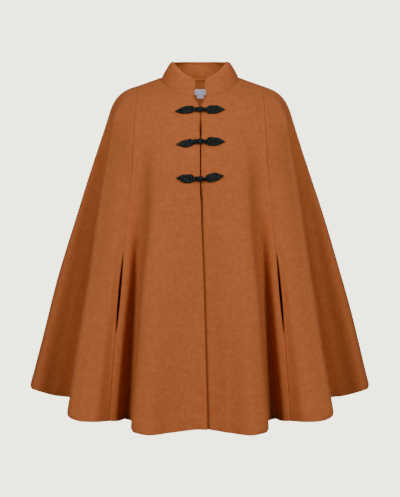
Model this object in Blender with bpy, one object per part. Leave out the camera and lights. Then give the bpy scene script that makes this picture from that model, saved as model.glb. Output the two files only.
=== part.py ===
"""A mandarin collar cape of wool, filled out as when worn, open at neck, hem and arm slits.

Metres. X points to the viewer's right, Y away from the viewer and Z up. The origin is
the middle of the neck, 3 mm below its side points, where the shoulders hold it.
The wearer's left is at positive X.
"""

import math
from collections import namedtuple

import bmesh
import bpy
from mathutils import Vector
from mathutils.bvhtree import BVHTree

MM = 0.001

# Cloth
WALL = 2.2 * MM
COLLAR_WALL = 3.0 * MM
SEAM_GAP = 0.3 * MM

# Neck ring: half-width, reach to the front and back, and height at centre front and back
NECK_HALF_WIDTH = 89.0 * MM
NECK_SIDE_Z = 3.0 * MM
NECK_FRONT = 78.0 * MM
NECK_BACK = 72.0 * MM
NECK_FRONT_Z = -46.0 * MM
NECK_BACK_Z = 3.0 * MM
NECK_DIP_POWER = 1.25

# Top ring of the stand collar
COLLAR_HALF_WIDTH = 66.0 * MM
COLLAR_FRONT = 60.0 * MM
COLLAR_BACK = 50.0 * MM
COLLAR_SIDE_Z = 41.5 * MM
COLLAR_FRONT_Z = -5.0 * MM
COLLAR_BACK_Z = 43.5 * MM
COLLAR_DIP_POWER = 1.9
COLLAR_END_DEG = 7.2
COLLAR_SPLAY_DEG = 2.2
COLLAR_SPLAY_FADE = 15.0
COLLAR_CORNER = 14.0 * MM
COLLAR_LIFT = 0.45 * MM

# Shoulder ring, where the cloth turns from lying on the shoulders to hanging down
KNEE_HALF_WIDTH = 200.0 * MM
KNEE_FRONT = 135.0 * MM
KNEE_BACK = 128.0 * MM
KNEE_SIDE_Z = -36.0 * MM
KNEE_FRONT_Z = -165.0 * MM
KNEE_BACK_Z = -150.0 * MM
KNEE_DIP_POWER = 1.5
ROUND_SIDE = 44.0 * MM
ROUND_FRONT = 105.0 * MM

# Hanging folds of one half, from centre front round the side to centre back. knee_deg is
# the place on the shoulder ring, hem_x, hem_y and hem_z the place at the hem, bow how far
# the column bends outwards halfway down, and root how far along the hem its soft beginning
# at the shoulder is averaged. All but the angle are in mm.
Fold = namedtuple("Fold", "name knee_deg hem_x hem_y hem_z bow root")
FOLDS = (
    Fold("centre_front", 0.0, 0.0, -160.0, -789.0, 0.0, 40.0),
    Fold("first_flank", 13.0, 66.0, -178.0, -792.0, 0.0, 44.0),
    Fold("first_crest", 24.0, 118.0, -202.0, -791.5, 0.0, 50.0),
    Fold("first_edge", 30.0, 151.0, -180.0, -788.0, 0.0, 56.0),
    Fold("first_under", 33.0, 144.0, -134.0, -784.0, 0.0, 58.0),
    Fold("first_trough", 38.0, 174.0, -66.0, -786.0, 0.0, 60.0),
    Fold("slit_lip", 43.0, 191.0, -116.0, -779.5, 2.0, 46.0),
    Fold("front_seam", 47.0, 205.0, -121.0, -778.5, 2.0, 36.0),
    Fold("second_crest", 56.0, 238.0, -150.0, -774.0, -2.0, 30.0),
    Fold("second_flank", 66.0, 272.0, -146.0, -773.0, -3.0, 24.0),
    Fold("second_edge", 78.0, 300.0, -124.0, -767.5, -2.0, 16.0),
    Fold("second_under", 82.0, 295.0, -62.0, -760.5, -4.0, 16.0),
    Fold("second_trough", 87.0, 306.0, 34.0, -758.0, -16.0, 20.0),
    Fold("side_flank", 89.5, 350.0, 24.0, -749.5, -4.0, 20.0),
    Fold("side_crest", 92.5, 392.5, 10.0, -734.0, 8.0, 22.0),
    Fold("side_edge", 96.0, 409.0, 44.0, -736.0, 10.5, 30.0),
    Fold("side_back", 107.0, 397.0, 112.0, -740.0, 9.0, 40.0),
    Fold("back_trough", 118.0, 332.0, 130.0, -752.0, 0.0, 46.0),
    Fold("back_crest", 130.0, 272.0, 222.0, -773.0, 4.0, 46.0),
    Fold("back_seam", 137.0, 228.0, 196.0, -779.0, 0.0, 44.0),
    Fold("inner_trough", 145.0, 184.0, 168.0, -783.0, 0.0, 48.0),
    Fold("inner_crest", 160.0, 104.0, 250.0, -791.0, 2.0, 50.0),
    Fold("centre_back", 180.0, 0.0, 222.0, -791.0, 0.0, 50.0),
)

# Where down a column the soft root begins, is at its softest, and has died out
ROOT_BEGINS = 1.0
ROOT_FULL = (1.7, 2.0)
ROOT_ENDS = 2.6
ROOT_WEIGHTS = ((-1.0, 0.13), (-0.5, 0.23), (0.0, 0.28), (0.5, 0.23), (1.0, 0.13))

# The panel seams pass over the shoulder ridge at this distance from the middle
RIDGE_SEAM_X = 143.0 * MM

# Arm slits in the front seams
SLIT_TOP = 2.355
SLIT_BOTTOM = 2.66
SLIT_WIDTH = 9.5 * MM

# A column runs 0 to 1 down the neck slope, 1 to 2 round the shoulder, 2 to 3 to the hem
SLOPE_ROWS = (0.0, 0.4, 0.8, 1.05, 1.3, 1.55, 1.78, 2.0)
HANG_ROWS = (2.12, 2.25, SLIT_TOP, 2.46, 2.53, 2.6, SLIT_BOTTOM, 2.78, 2.89, 3.0)
COLUMN_SPACING = 17.0 * MM

# Centre front: the wearer's right panel drifts over the left one towards the hem
OPEN_NECK = 13.6 * MM
OPEN_CHEST = 1.0 * MM
OPEN_CLOSED_Z = -68.0 * MM
LAP_START_Z = -262.0 * MM
LAP_SINK_Z = -240.0 * MM
LAP_SINK_RUN = 22.0 * MM
LAP_DRIFT = 16.0 * MM
LAP_UNDER = 2.0 * MM
LAP_DEPTH = 4.0 * MM
LAP_FADE = 50.0 * MM

# Frog fasteners, in mm from the middle: heights and tilts differ a little, as tied by hand
Leaf = namedtuple("Leaf", "name inner_x inner_z tip_x tip_z half_width")
LEAVES = (
    Leaf("frog_1_right_leaf", -10.7, -75.5, -56.5, -81.5, 10.5),
    Leaf("frog_1_left_leaf", 11.5, -77.0, 57.0, -76.0, 12.0),
    Leaf("frog_2_right_leaf", -10.7, -148.5, -53.5, -154.5, 10.5),
    Leaf("frog_2_left_leaf", 11.0, -148.0, 57.0, -149.0, 12.0),
    Leaf("frog_3_right_leaf", -10.7, -231.0, -54.0, -227.5, 12.0),
    Leaf("frog_3_left_leaf", 10.8, -231.0, 54.0, -224.0, 12.0),
)
Knot = namedtuple("Knot", "number x z")
KNOTS = (Knot(1, 1.0, -75.5), Knot(2, 1.0, -147.5), Knot(3, 1.0, -230.5))
LEAF_SIDES = 18
# Share of the leaf's outline and height of the cord's coils, edge to middle
LEAF_COILS = ((1.0, 1.5), (0.88, 3.1), (0.71, 2.3), (0.54, 3.5), (0.36, 2.7), (0.2, 3.7))
LEAF_LIFT = 1.0 * MM
KNOT_RADIUS = 6.2 * MM
KNOT_NECK = 2.2 * MM
KNOT_NECK_END = 15.0 * MM
KNOT_SEAT = 0.35 * MM
KNOT_SIDES = 10
LOOP_HALF_LENGTH = 8.0 * MM
LOOP_HALF_HEIGHT = 5.2 * MM
LOOP_CORD = 1.7 * MM
LOOP_LIFT = 0.8 * MM
LOOP_SHIFT = -1.6 * MM
LOOP_STEPS = 18
LOOP_SIDES = 6
BESIDE_EDGE = 3.5 * MM

# Bare woven label and size tab on the inside of the back, in mm
Tag = namedtuple("Tag", "name left right top bottom")
TAGS = (
    Tag("neck_label", -13.0, 14.0, -20.0, -33.0),
    Tag("size_tab", -7.5, 8.5, -33.6, -41.5),
)
TAG_WALL = 1.0 * MM
TAG_LIFT = 0.5 * MM


def spline(knots, values, at):
    """Cubic curve through the values at uneven knots, with a tangent from both neighbours."""
    i = max(1, min(len(knots) - 3, next((k for k, x in enumerate(knots) if x > at), len(knots)) - 1))
    span = knots[i + 1] - knots[i]
    slopes = []
    for j in (i, i + 1):
        before = (values[j] - values[j - 1]) / (knots[j] - knots[j - 1])
        after = (values[j + 1] - values[j]) / (knots[j + 1] - knots[j])
        share = (knots[j] - knots[j - 1]) / (knots[j + 1] - knots[j - 1])
        slopes.append(before * (1 - share) + after * share)
    t = (at - knots[i]) / span
    return (
        values[i] * (2 * t**3 - 3 * t**2 + 1)
        + slopes[0] * span * (t**3 - 2 * t**2 + t)
        + values[i + 1] * (3 * t**2 - 2 * t**3)
        + slopes[1] * span * (t**3 - t**2)
    )


def fold_knots():
    """Distance along the hem to each fold, with one mirrored fold added past either end."""
    reach = [0.0]
    for one, two in zip(FOLDS, FOLDS[1:]):
        reach.append(reach[-1] + math.hypot(two.hem_x - one.hem_x, two.hem_y - one.hem_y) * MM)
    first, last = FOLDS[1], FOLDS[-2]
    folds = [first._replace(knee_deg=-first.knee_deg, hem_x=-first.hem_x), *FOLDS]
    folds.append(last._replace(knee_deg=360 - last.knee_deg, hem_x=-last.hem_x))
    return [-reach[1], *reach, 2 * reach[-1] - reach[-2]], folds


KNOTS_U, ALL_FOLDS = fold_knots()
END_U = KNOTS_U[-2]


def fold_u(name):
    return KNOTS_U[1 + [fold.name for fold in FOLDS].index(name)]


def oval(degrees, half_width, front, back, side_z, front_z, back_z, power):
    """A point on a ring round the body: 0 degrees is centre front and 90 the wearer's left."""
    angle = math.radians(degrees)
    ahead = math.cos(angle)
    reach, low = (front, front_z) if ahead > 0 else (back, back_z)
    return Vector((
        half_width * math.sin(angle),
        -reach * ahead,
        side_z + (low - side_z) * abs(ahead) ** power,
    ))


def neck_point(degrees):
    return oval(degrees, NECK_HALF_WIDTH, NECK_FRONT, NECK_BACK, NECK_SIDE_Z,
                NECK_FRONT_Z, NECK_BACK_Z, NECK_DIP_POWER)


def knee_point(degrees):
    return oval(degrees, KNEE_HALF_WIDTH, KNEE_FRONT, KNEE_BACK, KNEE_SIDE_Z,
                KNEE_FRONT_Z, KNEE_BACK_Z, KNEE_DIP_POWER)


COLUMNS = {}


def column(u):
    """Neck, turn start, shoulder corner, turn end and hem points, and the bow, of one column."""
    key = round(u, 7)
    if key not in COLUMNS:
        table = {field: spline(KNOTS_U, [getattr(f, field) for f in ALL_FOLDS], u)
                 for field in Fold._fields[1:]}
        degrees = table["knee_deg"]
        neck, knee = neck_point(degrees), knee_point(degrees)
        hem = Vector((table["hem_x"], table["hem_y"], table["hem_z"])) * MM
        ahead = abs(math.cos(math.radians(degrees)))
        turn = ROUND_SIDE + (ROUND_FRONT - ROUND_SIDE) * ahead
        up, down = neck - knee, hem - knee
        start = knee + up * min(turn / up.length, 0.8)
        end = knee + down * (turn / down.length)
        COLUMNS[key] = (neck, start, knee, end, hem, table["bow"] * MM, table["root"] * MM)
    return COLUMNS[key]


def crisp_surface(u, v):
    """The cloth with every fold as crisp at the shoulder as at the hem."""
    if u < 0 or u > END_U:
        point = crisp_surface(-u if u < 0 else 2 * END_U - u, v)
        return Vector((-point.x, point.y, point.z))
    neck, start, knee, end, hem, bow, _ = column(u)
    if v <= 1:
        return neck.lerp(start, v)
    if v <= 2:
        t = v - 1
        return start * (1 - t) ** 2 + knee * (2 * t * (1 - t)) + end * t**2
    t = v - 2
    out = Vector((hem.x, hem.y, 0)).normalized()
    return end.lerp(hem, t) + out * (bow * 4 * t * (1 - t))


def eased(share):
    share = min(1.0, max(0.0, share))
    return share * share * (3 - 2 * share)


def surface(u, v):
    """The outer face of the cloth: u along the hem from centre front, v down the column."""
    begun = eased((v - ROOT_BEGINS) / (ROOT_FULL[0] - ROOT_BEGINS))
    soft = begun * eased((ROOT_ENDS - v) / (ROOT_ENDS - ROOT_FULL[1]))
    if soft == 0:
        return crisp_surface(u, v)
    reach = column(-u if u < 0 else min(u, 2 * END_U - u))[-1] * soft
    return sum((crisp_surface(u + reach * step, v) * weight for step, weight in ROOT_WEIGHTS), Vector())


STEP_U = 0.5 * MM
STEP_V = 0.004


def along(u, v):
    return (surface(u + STEP_U, v) - surface(u - STEP_U, v)) / (2 * STEP_U)


def down(u, v):
    above, below = max(v - STEP_V, 0.0), min(v + STEP_V, 3.0)
    return (surface(u, below) - surface(u, above)) / (below - above)


def normal(u, v):
    return down(u, v).cross(along(u, v)).normalized()


def solve(function, low, high):
    """Where a rising function crosses zero."""
    for _ in range(40):
        middle = (low + high) / 2
        if function(middle) > 0:
            high = middle
        else:
            low = middle
    return (low + high) / 2


def spread(start, end, spacing):
    """Even steps of about the spacing, both ends kept."""
    count = max(1, round((end - start) / spacing))
    return [start + (end - start) * i / count for i in range(count + 1)]


FRONT_U = fold_u("front_seam")
BACK_U = fold_u("back_seam")
RIDGE_U = solve(lambda u: spline(KNOTS_U, [f.knee_deg for f in ALL_FOLDS], u) - 90, FRONT_U, BACK_U)


def seam_x(u):
    """Distance of the panel seam from the middle where it passes over the shoulder."""
    edge = FRONT_U if u < RIDGE_U else BACK_U
    share = (u - RIDGE_U) / (edge - RIDGE_U)
    return RIDGE_SEAM_X + (surface(edge, 2.0).x - RIDGE_SEAM_X) * share**3


def seam_v(u):
    """How far down its column the panel seam crosses, 2 where it joins the hanging seam."""
    if u in (FRONT_U, BACK_U):
        return 2.0
    return solve(lambda v: surface(u, v).x - seam_x(u), 0.0, 2.0)


def slit_half_width(v):
    if not SLIT_TOP < v < SLIT_BOTTOM:
        return 0.0
    return SLIT_WIDTH / 2 * math.sin(math.pi * (v - SLIT_TOP) / (SLIT_BOTTOM - SLIT_TOP)) ** 0.6


NEAR_SEAM = (4.0 * MM, 10.0 * MM)
FRONT_COLUMNS = [FRONT_U + near for near in NEAR_SEAM]
FRONT_COLUMNS = [FRONT_U, *FRONT_COLUMNS, *spread(FRONT_COLUMNS[-1], RIDGE_U, COLUMN_SPACING)[1:]]
BACK_COLUMNS = [BACK_U - near for near in NEAR_SEAM]
BACK_COLUMNS = [*spread(RIDGE_U, BACK_COLUMNS[-1], COLUMN_SPACING)[:-1], *BACK_COLUMNS[::-1], BACK_U]


def across_seam(u, v):
    """Direction in the cloth, square to the panel seam and towards the side panel."""
    if v > 2 or u in (FRONT_U, BACK_U):
        run = down(u, max(v, 2.0))
        sign = 1 if u < RIDGE_U else -1
    else:
        after, before = u + STEP_U, u - STEP_U
        run = surface(before, seam_v(before)) - surface(after, seam_v(after))
        sign = 1
    return run.cross(normal(u, v)).normalized() * -sign


def shell(name, outer, inner, cells, mirrored=False):
    """A closed solid from matching outer and inner points and the cells between them."""
    bm = bmesh.new()
    sign = -1 if mirrored else 1
    keys = sorted({key for cell in cells for key in cell})
    faces = {}
    for label, points in (("outer", outer), ("inner", inner)):
        faces[label] = {k: bm.verts.new((sign * points[k].x, points[k].y, points[k].z)) for k in keys}
    edges = {}
    for cell in cells:
        bm.faces.new([faces["outer"][k] for k in cell])
        bm.faces.new([faces["inner"][k] for k in reversed(cell)])
        for one, two in zip(cell, cell[1:] + cell[:1]):
            edges[frozenset((one, two))] = edges.get(frozenset((one, two)), 0) + 1
    for pair, count in edges.items():
        if count == 1:
            one, two = sorted(pair)
            bm.faces.new((faces["outer"][one], faces["outer"][two],
                          faces["inner"][two], faces["inner"][one]))
    return finish(name, bm)


def finish(name, bm):
    bmesh.ops.recalc_face_normals(bm, faces=bm.faces)
    if bm.calc_volume(signed=True) < 0:
        bmesh.ops.reverse_faces(bm, faces=bm.faces)
    bmesh.ops.triangulate(bm, faces=[face for face in bm.faces if len(face.verts) > 3])
    mesh = bpy.data.meshes.new(name)
    bm.to_mesh(mesh)
    bm.free()
    obj = bpy.data.objects.new(name, mesh)
    bpy.context.scene.collection.objects.link(obj)
    return obj


def grid_cells(rows_of):
    """Cells between neighbouring columns, as far down as both of them reach."""
    cells = []
    for i in range(len(rows_of) - 1):
        for k in range(min(rows_of[i], rows_of[i + 1]) - 1):
            cells.append(((i, k), (i, k + 1), (i + 1, k + 1), (i + 1, k)))
    return cells


def upper_vs(u):
    """Rows of a column that ends on the panel seam over the shoulder."""
    end = seam_v(u)
    return [v * end / 2 for v in SLOPE_ROWS]


def panel_points(columns, sink=None):
    """Outer and inner points of (u, v, nudge) entries, nudge being a shift within the cloth."""
    outer, inner = {}, {}
    for i, entries in enumerate(columns):
        for k, (u, v, nudge) in enumerate(entries):
            out = normal(u, v)
            point = surface(u, v) + nudge
            if sink:
                point = point - out * sink(u, point)
            outer[i, k] = point
            inner[i, k] = point - out * WALL
    return outer, inner


def ridge_nudge(u, v):
    return along(u, v).normalized() * (SEAM_GAP / 2)


def front_edge_u(v, laps):
    """Where the front's free edge lies: open at the neck, then close to the middle."""
    def edge_x(z):
        if z > OPEN_CLOSED_Z:
            share = (z - OPEN_CLOSED_Z) / (NECK_FRONT_Z - OPEN_CLOSED_Z)
            return OPEN_CHEST + (OPEN_NECK - OPEN_CHEST) * min(share, 1.0)
        share = max(0.0, (LAP_START_Z - z) / (LAP_START_Z - FOLDS[0].hem_z * MM))
        return OPEN_CHEST - (LAP_DRIFT + OPEN_CHEST if laps else LAP_UNDER) * share**0.7
    target = edge_x(surface(0.0, v).z)
    return solve(lambda u: surface(u, v).x - target, -0.1, 0.1)


def lap_sink(u, point):
    """The underlapping edge lies behind the other front below the third frog."""
    fall = min(1.0, max(0.0, (LAP_SINK_Z - point.z) / LAP_SINK_RUN))
    near = min(1.0, max(0.0, 1 - (u - LAP_DRIFT) / LAP_FADE))
    return LAP_DEPTH * fall * (3 * near**2 - 2 * near**3)


def make_front(name, laps):
    """The wearer's right front laps and is mirrored to negative X; the left one lies under."""
    shares = [0.0, 0.05, 0.1, *spread(0.17, 1.0, COLUMN_SPACING / FRONT_U)]
    columns = []
    for share in shares:
        entries = []
        for v in SLOPE_ROWS + HANG_ROWS:
            edge = front_edge_u(v, laps)
            u = edge + (FRONT_U - edge) * share if share < 1 else FRONT_U
            nudge = Vector()
            if share == 1 and v >= 2:
                nudge = across_seam(u, v) * -(SEAM_GAP / 2 + slit_half_width(v))
            entries.append((u, v, nudge))
        columns.append(entries)
    for u in FRONT_COLUMNS[1:]:
        entries = [(u, v, Vector()) for v in upper_vs(u)]
        end = entries[-1][1]
        entries[-1] = (u, end, across_seam(u, end) * (-SEAM_GAP / 2))
        if u == RIDGE_U:
            entries = [(u, v, nudge - ridge_nudge(u, v)) for _, v, nudge in entries]
        columns.append(entries)
    outer, inner = panel_points(columns, None if laps else lap_sink)
    return shell(name, outer, inner, grid_cells([len(c) for c in columns]), mirrored=laps)


def make_side(name, mirrored):
    """The side panel fans from the seam over the shoulder down to the hem."""
    columns = []
    for u in FRONT_COLUMNS + BACK_COLUMNS[1:]:
        start = seam_v(u)
        entries = []
        for share in [0.0, *[v - 2 for v in HANG_ROWS]]:
            v = start + share * (3 - start)
            nudge = Vector()
            if u in (FRONT_U, BACK_U) or share == 0:
                slit = slit_half_width(v) if u == FRONT_U else 0.0
                nudge = across_seam(u, v) * (SEAM_GAP / 2 + slit)
            entries.append((u, v, nudge))
        columns.append(entries)
    outer, inner = panel_points(columns)
    return shell(name, outer, inner, grid_cells([len(c) for c in columns]), mirrored=mirrored)


def make_back(name):
    """One piece, its upper corners reaching up to the shoulder ridge on both sides."""
    half = []
    for u in BACK_COLUMNS[:-1]:
        entries = [(u, v, Vector()) for v in upper_vs(u)]
        end = entries[-1][1]
        entries[-1] = (u, end, across_seam(u, end) * (-SEAM_GAP / 2))
        if u == RIDGE_U:
            entries = [(u, v, nudge + ridge_nudge(u, v)) for _, v, nudge in entries]
        half.append(entries)
    for u in spread(BACK_U, END_U, COLUMN_SPACING):
        entries = []
        for v in SLOPE_ROWS + HANG_ROWS:
            seam = u == BACK_U and v >= 2
            entries.append((u, v, across_seam(u, v) * (-SEAM_GAP / 2) if seam else Vector()))
        half.append(entries)
    outer, inner = panel_points(half)
    last = len(half) - 1
    for points in (outer, inner):
        for (i, k), point in list(points.items()):
            points[2 * last - i, k] = Vector((-point.x if i < last else 0.0, point.y, point.z))
    counts = [len(c) for c in half]
    return shell(name, outer, inner, grid_cells(counts + counts[-2::-1]))


def collar_point(degrees, share):
    top = oval(degrees, COLLAR_HALF_WIDTH, COLLAR_FRONT, COLLAR_BACK, COLLAR_SIDE_Z,
               COLLAR_FRONT_Z, COLLAR_BACK_Z, COLLAR_DIP_POWER)
    from_end = 180 - abs(180 - degrees) - COLLAR_END_DEG
    splay = COLLAR_SPLAY_DEG * max(0.0, 1 - from_end / COLLAR_SPLAY_FADE)
    base = neck_point(degrees + math.copysign(splay, 180 - degrees))
    return base.lerp(top, share) + (top - base).normalized() * (COLLAR_LIFT * (1 - share))


def collar_normal(degrees, share):
    turn = 0.5
    around = collar_point(degrees + turn, share) - collar_point(degrees - turn, share)
    return around.cross(collar_point(degrees, 1.0) - collar_point(degrees, 0.0)).normalized()


def make_collar():
    """A strip on the neck ring, its two front corners rounded."""
    close = [COLLAR_END_DEG + step for step in (0.0, 0.6, 1.8, 3.8, 6.6, 10.0, 14.0)]
    degrees = close + spread(22.0, 338.0, 9.0) + [360 - d for d in reversed(close)]
    outer, inner = {}, {}
    rows = (0.0, 0.27, 0.52, 0.76, 1.0)
    end_top = collar_point(COLLAR_END_DEG, 1.0)
    for i, angle in enumerate(degrees):
        top = collar_point(angle, 1.0)
        near = abs(top.x) - end_top.x if top.y < -COLLAR_FRONT / 2 else COLLAR_CORNER
        inset = max(0.0, 1 - near / COLLAR_CORNER)
        height = (top - collar_point(angle, 0.0)).length
        reach = 1 - COLLAR_CORNER * (1 - math.sqrt(1 - inset**2)) / height
        for k, row in enumerate(rows):
            out = collar_normal(angle, row * reach)
            outer[i, k] = collar_point(angle, row * reach)
            inner[i, k] = outer[i, k] - out * COLLAR_WALL
    return shell("collar", outer, inner, grid_cells([len(rows)] * len(degrees)))


def tree_of(*objects):
    """A ray target of the solids' own faces."""
    points, faces = [], []
    for obj in objects:
        first = len(points)
        points += [v.co.copy() for v in obj.data.vertices]
        faces += [[first + i for i in polygon.vertices] for polygon in obj.data.polygons]
    return BVHTree.FromPolygons(points, faces)


def face_y(tree, x, z, start_y):
    hit = tree.ray_cast(Vector((x, start_y, z)), Vector((0, 1, 0)))[0]
    return hit.y


def make_leaf(leaf, tree):
    """A flat coil of cord, round towards the knot and pointed at the other end."""
    inner = Vector((leaf.inner_x, 0, leaf.inner_z)) * MM
    tip = Vector((leaf.tip_x, 0, leaf.tip_z)) * MM
    reach = (tip - inner) / 2
    middle = inner + reach
    across = Vector((-reach.z, 0, reach.x)).normalized() * (leaf.half_width * MM / 0.77)
    centre = middle - reach * 0.33
    bm = bmesh.new()
    rings = []
    for share, height in ((1.0, 0.0), *LEAF_COILS):
        ring = []
        for i in range(LEAF_SIDES):
            t = 2 * math.pi * i / LEAF_SIDES
            edge = middle + reach * math.cos(t) + across * (math.sin(t) * abs(math.sin(t / 2)))
            point = centre.lerp(edge, share)
            y = face_y(tree, point.x, point.z, -1.0) - LEAF_LIFT - height * MM
            ring.append(bm.verts.new((point.x, y, point.z)))
        rings.append(ring)
    for one, two in zip(rings, rings[1:]):
        for i in range(LEAF_SIDES):
            j = (i + 1) % LEAF_SIDES
            bm.faces.new((one[i], one[j], two[j], two[i]))
    for ring, height in ((rings[0], 0.0), (rings[-1], LEAF_COILS[-1][1])):
        y = face_y(tree, centre.x, centre.z, -1.0) - LEAF_LIFT - height * MM
        hub = bm.verts.new((centre.x, y, centre.z))
        for i in range(LEAF_SIDES):
            bm.faces.new((ring[i], ring[(i + 1) % LEAF_SIDES], hub))
    return finish(leaf.name, bm)


def tube(name, rings, closed):
    """A skin through matching rings of points, joined end to end or capped."""
    bm = bmesh.new()
    made = [[bm.verts.new(point) for point in ring] for ring in rings]
    count = len(made[0])
    for one, two in zip(made, made[1:] + (made[:1] if closed else [])):
        for i in range(count):
            j = (i + 1) % count
            bm.faces.new((one[i], one[j], two[j], two[i]))
    if not closed:
        bm.faces.new(made[0])
        bm.faces.new(made[-1])
    return finish(name, bm)


def loop_path(knot, tree):
    """Centre line of the loop, which lies on both fronts, and its outward directions."""
    path = []
    for i in range(LOOP_STEPS):
        t = 2 * math.pi * i / LOOP_STEPS
        x = knot.x * MM + LOOP_SHIFT + LOOP_HALF_LENGTH * math.cos(t)
        z = knot.z * MM + LOOP_HALF_HEIGHT * math.sin(t)
        probe = math.copysign(max(abs(x), BESIDE_EDGE), x)
        y = face_y(tree, probe, z, -1.0) - LOOP_LIFT - LOOP_CORD
        out = Vector((math.cos(t) / LOOP_HALF_LENGTH, 0, math.sin(t) / LOOP_HALF_HEIGHT))
        path.append((Vector((x, y, z)), out.normalized()))
    return path


def make_loop(knot, tree):
    """A ring of cord round the foot of the knot, from the leaf on the wearer's right."""
    ahead = Vector((0, -1, 0))
    rings = []
    for point, out in loop_path(knot, tree):
        angles = [2 * math.pi * k / LOOP_SIDES for k in range(LOOP_SIDES)]
        rings.append([point + (out * math.cos(a) + ahead * math.sin(a)) * LOOP_CORD for a in angles])
    return tube(f"frog_{knot.number}_loop", rings, closed=True)


def make_knot(knot, tree):
    """A ball of cord seated on the loop, its neck running to the leaf on the wearer's left."""
    x, z = knot.x * MM, knot.z * MM
    apart = KNOT_RADIUS + LOOP_CORD + KNOT_SEAT
    seats = [p.y - math.sqrt(max(0.0, apart**2 - (p.x - x) ** 2 - (p.z - z) ** 2))
             for p, _ in loop_path(knot, tree)]
    y = min(seats)
    profile = [(-KNOT_RADIUS * math.cos(a), KNOT_RADIUS * math.sin(a))
               for a in (math.pi * i / 8 for i in range(1, 7))]
    profile += [(KNOT_RADIUS * 1.1, KNOT_NECK), (KNOT_NECK_END, KNOT_NECK)]
    angles = [2 * math.pi * i / KNOT_SIDES for i in range(KNOT_SIDES)]
    rings = [[Vector((x + reach, y + radius * math.cos(a), z + radius * math.sin(a))) for a in angles]
             for reach, radius in profile]
    return tube(f"frog_{knot.number}_knot", rings, closed=False)


def make_tag(tag, tree):
    """A bare woven strip lying on the inside of the back."""
    outer, inner = {}, {}
    across, high = 5, 3
    for i in range(across):
        for k in range(high):
            x = (tag.left + (tag.right - tag.left) * i / (across - 1)) * MM
            z = (tag.top + (tag.bottom - tag.top) * k / (high - 1)) * MM
            y = face_y(tree, x, z, 0.0) - TAG_LIFT
            outer[i, k] = Vector((x, y - TAG_WALL, z))
            inner[i, k] = Vector((x, y, z))
    return shell(tag.name, outer, inner, grid_cells([high] * across))


def material(obj, colour, roughness):
    """A plain finish of the object's own."""
    made = bpy.data.materials.new(obj.name)
    made.use_nodes = True
    shader = made.node_tree.nodes["Principled BSDF"]
    shader.inputs["Base Color"].default_value = (*colour, 1.0)
    shader.inputs["Roughness"].default_value = roughness
    obj.data.materials.append(made)


WOOL = (0.43, 0.125, 0.036)
CORD = (0.006, 0.011, 0.010)
LABEL = (0.62, 0.60, 0.70)


def main():
    for obj in list(bpy.data.objects):
        bpy.data.objects.remove(obj)
    right_front = make_front("right_front", laps=True)
    left_front = make_front("left_front", laps=False)
    back = make_back("back")
    cloth = [right_front, left_front, back, make_collar()]
    cloth += [make_side("right_side", True), make_side("left_side", False)]
    fronts = tree_of(right_front, left_front)
    cords = [make_leaf(leaf, fronts) for leaf in LEAVES]
    for knot in KNOTS:
        cords += [make_knot(knot, fronts), make_loop(knot, fronts)]
    tags = [make_tag(tag, tree_of(back)) for tag in TAGS]
    for objects, colour, roughness in ((cloth, WOOL, 0.9), (cords, CORD, 0.5), (tags, LABEL, 0.7)):
        for obj in objects:
            material(obj, colour, roughness)


main()
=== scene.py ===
# %% [markdown]
# # A mandarin collar cape
# The cape is brushed wool, cut as two fronts, two flared side panels and one back, with a
# stand collar and three frog fasteners of twisted cord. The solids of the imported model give
# every place and size. Each solid gets a finer cloth or cord piece here that stands for it.

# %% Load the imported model
import math

import bmesh
import bpy
import numpy as np
from mathutils import Matrix, Vector
from mathutils.bvhtree import BVHTree


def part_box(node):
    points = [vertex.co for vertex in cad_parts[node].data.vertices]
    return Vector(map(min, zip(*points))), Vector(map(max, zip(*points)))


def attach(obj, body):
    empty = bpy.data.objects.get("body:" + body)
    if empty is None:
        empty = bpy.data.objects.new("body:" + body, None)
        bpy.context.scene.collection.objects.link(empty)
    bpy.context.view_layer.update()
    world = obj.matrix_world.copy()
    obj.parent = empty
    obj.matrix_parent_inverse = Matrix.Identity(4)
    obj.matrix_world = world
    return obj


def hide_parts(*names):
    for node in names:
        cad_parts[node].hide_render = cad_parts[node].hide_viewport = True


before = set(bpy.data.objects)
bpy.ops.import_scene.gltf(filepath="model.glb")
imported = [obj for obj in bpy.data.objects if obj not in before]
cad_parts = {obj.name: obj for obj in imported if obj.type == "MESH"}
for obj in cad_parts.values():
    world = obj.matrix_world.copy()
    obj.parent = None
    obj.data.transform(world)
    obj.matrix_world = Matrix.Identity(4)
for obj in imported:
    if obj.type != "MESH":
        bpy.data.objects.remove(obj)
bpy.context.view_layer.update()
MM = 0.001

# %% [markdown]
# ## Camera, floor and light
# The photograph looks straight at the front from about 2.6 m, a little downwards, with an
# even frontal light and no hard shadow. Blender's lens could be guessed by eye, but a focal
# length in pixels, worked out from the perspective of the hem, gives the frame at once.

# %% Camera
PHOTO_FOCAL_PX, PHOTO_LONG_SIDE_PX = 1111.0, 497
CAMERA_PLACE, LOOKS_DOWN_DEG = (0, -2.6, -0.2), 4.3
camera_data = bpy.data.cameras.new("photo_camera")
camera_data.sensor_width = 36.0
camera_data.lens = PHOTO_FOCAL_PX * camera_data.sensor_width / PHOTO_LONG_SIDE_PX
camera = bpy.data.objects.new("photo_camera", camera_data)
bpy.context.scene.collection.objects.link(camera)
camera.location = CAMERA_PLACE
camera.rotation_euler = (math.radians(90 - LOOKS_DOWN_DEG), 0, 0)
bpy.context.scene.camera = camera
print("lens", round(camera_data.lens, 1), "mm")


# %% [markdown]
# Colours are picked as sRGB hex values, but Blender mixes light in linear values, so one
# function converts them. Nodes could be added line by line, but one small function that
# takes settings and links keeps each material short enough to read.

# %% Colour and node helpers
def linear(hex_colour, alpha=1.0):
    """An sRGB hex colour as the linear values that a shader takes."""
    parts = [int(hex_colour[i:i + 2], 16) / 255 for i in (1, 3, 5)]
    curve = [p / 12.92 if p <= 0.04045 else ((p + 0.055) / 1.055) ** 2.4 for p in parts]
    return (*curve, alpha)


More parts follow.
